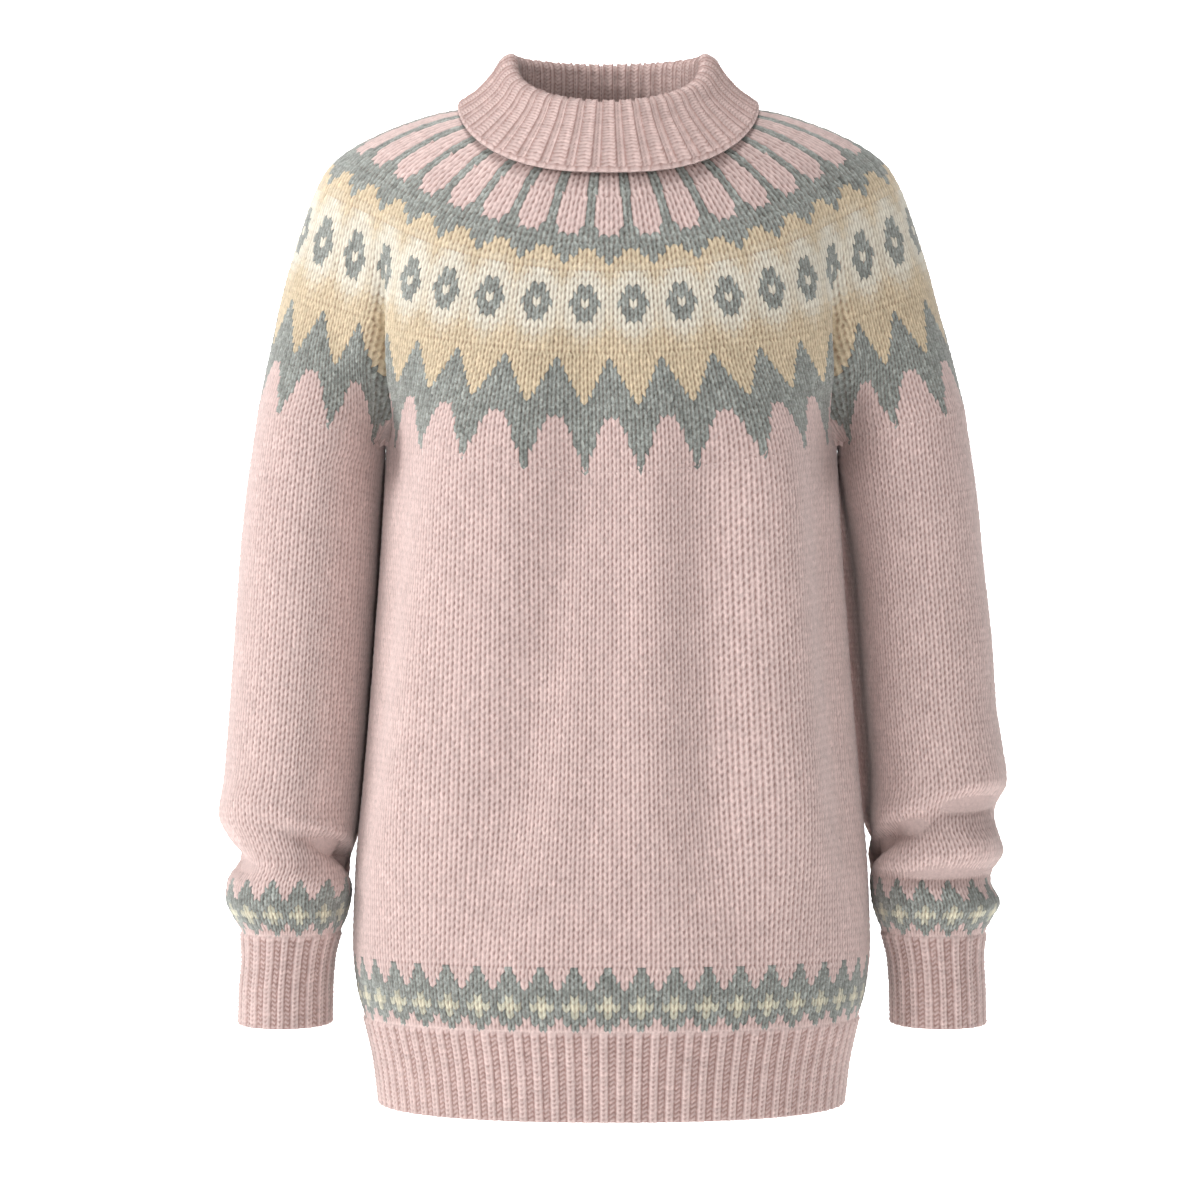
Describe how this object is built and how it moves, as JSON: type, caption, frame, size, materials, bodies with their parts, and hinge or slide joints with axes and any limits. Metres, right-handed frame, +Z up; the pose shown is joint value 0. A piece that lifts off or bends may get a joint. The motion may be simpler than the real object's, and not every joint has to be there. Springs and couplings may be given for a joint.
{
  "type": "nordic yoke sweater",
  "caption": "Long knitted pullover with a patterned round yoke, a folded ribbed collar, ribbed cuffs and hem, filled out as if worn.",
  "frame": {"origin": "middle of the neck seam, where the wearer's neck and shoulders hold the sweater", "axes": "+Z up along the neck, -Y the garment's front, +X the wearer's left"},
  "size_m": [0.5499, 0.2341, 0.7362],
  "materials": {
    "yoke_knit": "soft wool knit in sand, sage, cream and pink",
    "collar_rib": "soft wool rib in dusty pink",
    "body_knit": "soft wool stocking stitch in dusty pink",
    "hem_rib": "soft wool rib in dusty pink",
    "sleeve_knit": "soft wool stocking stitch in dusty pink",
    "cuff_rib": "soft wool rib in dusty pink"
  },
  "bodies": {
    "root": {"yoke": "yoke_knit", "collar": "collar_rib", "body_front": "body_knit", "body_back": "body_knit", "hem_band": "hem_rib", "sleeve_left": "sleeve_knit", "sleeve_right": "sleeve_knit", "cuff_left": "cuff_rib", "cuff_right": "cuff_rib"}
  },
  "joints": []
}
